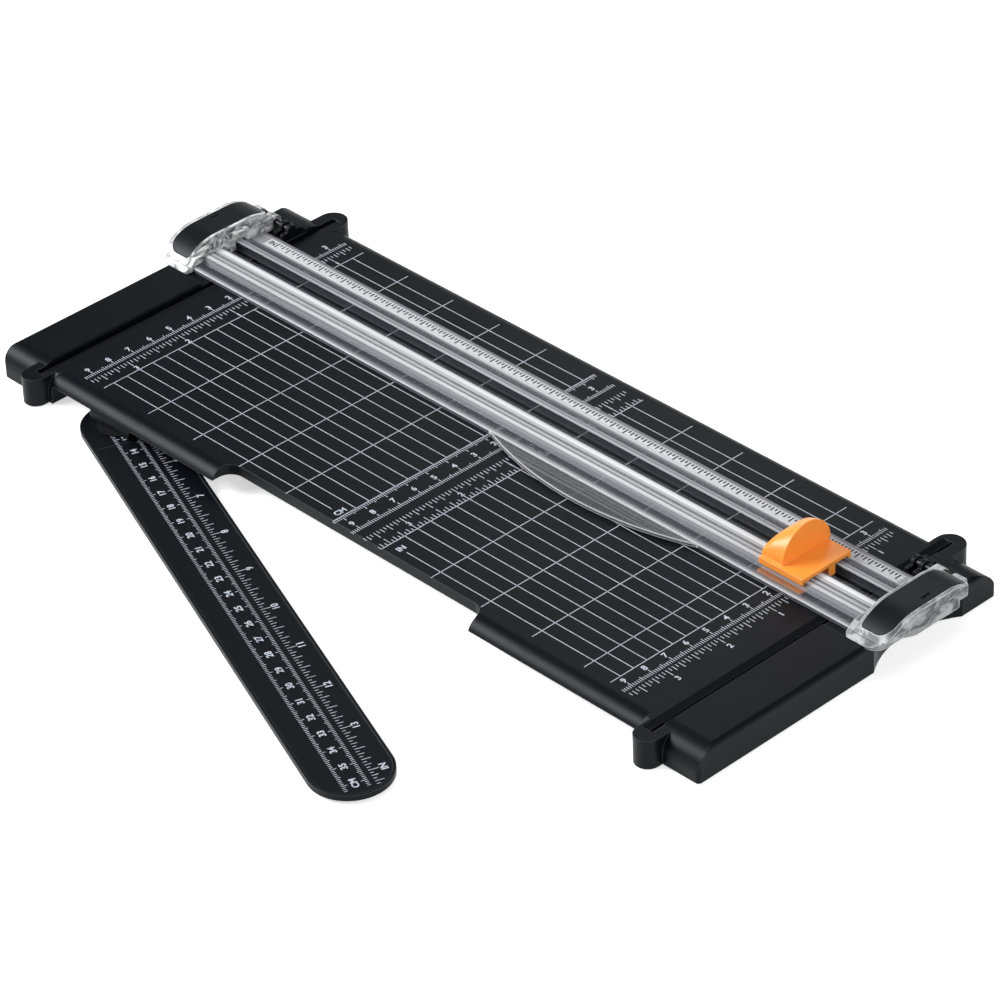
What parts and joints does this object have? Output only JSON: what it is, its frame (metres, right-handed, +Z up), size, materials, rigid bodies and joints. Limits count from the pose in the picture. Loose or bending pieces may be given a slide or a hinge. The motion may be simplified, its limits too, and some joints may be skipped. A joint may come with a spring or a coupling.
{
  "type": "paper trimmer",
  "caption": "Flat paper trimmer: dark base board, hinged clear cutting rail with a sliding blade carriage, end housings and a swing-out ruler arm.",
  "frame": {"origin": "on the desk plane under the cutting line, halfway along the base", "axes": "+X along the cutting line, the carriage resting near its +X end; +Y to the back, where the rail is hinged; +Z up"},
  "size_m": [0.379, 0.2467, 0.0304],
  "materials": {
    "black_plastic": "fine matt moulding texture",
    "strip_plastic": "smooth, matt",
    "foot_rubber": "matt",
    "zinc_steel": "zinc plated",
    "pin_steel": "blackened",
    "clear_plastic": "clear polished moulding",
    "scale_film": "printed film",
    "gloss_black": "satin gloss",
    "orange_plastic": "satin gloss",
    "blade_steel": "ground"
  },
  "bodies": {
    "base": {"base_moulding": "black_plastic", "cutting_strip": "strip_plastic", "rubber_feet": "foot_rubber", "arm_pivot_screw": "zinc_steel", "arm_washer": "strip_plastic", "hinge_bracket_left": "black_plastic", "hinge_bracket_right": "black_plastic", "bracket_screws": "zinc_steel", "hinge_pin_left": "pin_steel", "hinge_pin_right": "pin_steel"},
    "ruler": {"ruler_arm": "black_plastic"},
    "rail": {"front_rail": "clear_plastic", "rear_rail": "clear_plastic", "finger_tab": "clear_plastic", "scale_strip": "scale_film", "end_housing_left": "clear_plastic", "end_housing_right": "clear_plastic", "end_cover_left": "gloss_black", "end_cover_right": "gloss_black", "rail_screws": "zinc_steel"},
    "carriage": {"carriage_cap": "orange_plastic", "carriage_runner": "orange_plastic", "blade": "blade_steel", "blade_rivets": "zinc_steel"}
  },
  "joints": [
    {"name": "rail_lift", "type": "hinge", "parent": "base", "child": "rail", "pos_m": [0, 0.0259, 0.0156], "axis": [-1, 0, 0], "range_deg": [0, 75]},
    {"name": "carriage_slide", "type": "slide", "parent": "rail", "child": "carriage", "axis": [1, 0, 0], "range_m": [-0.2955, 0.0265]},
    {"name": "ruler_swing", "type": "hinge", "parent": "base", "child": "ruler", "pos_m": [-0.121, -0.0972, 0.0027], "axis": [0, 0, 1], "range_deg": [-69.15, 20.85]}
  ]
}
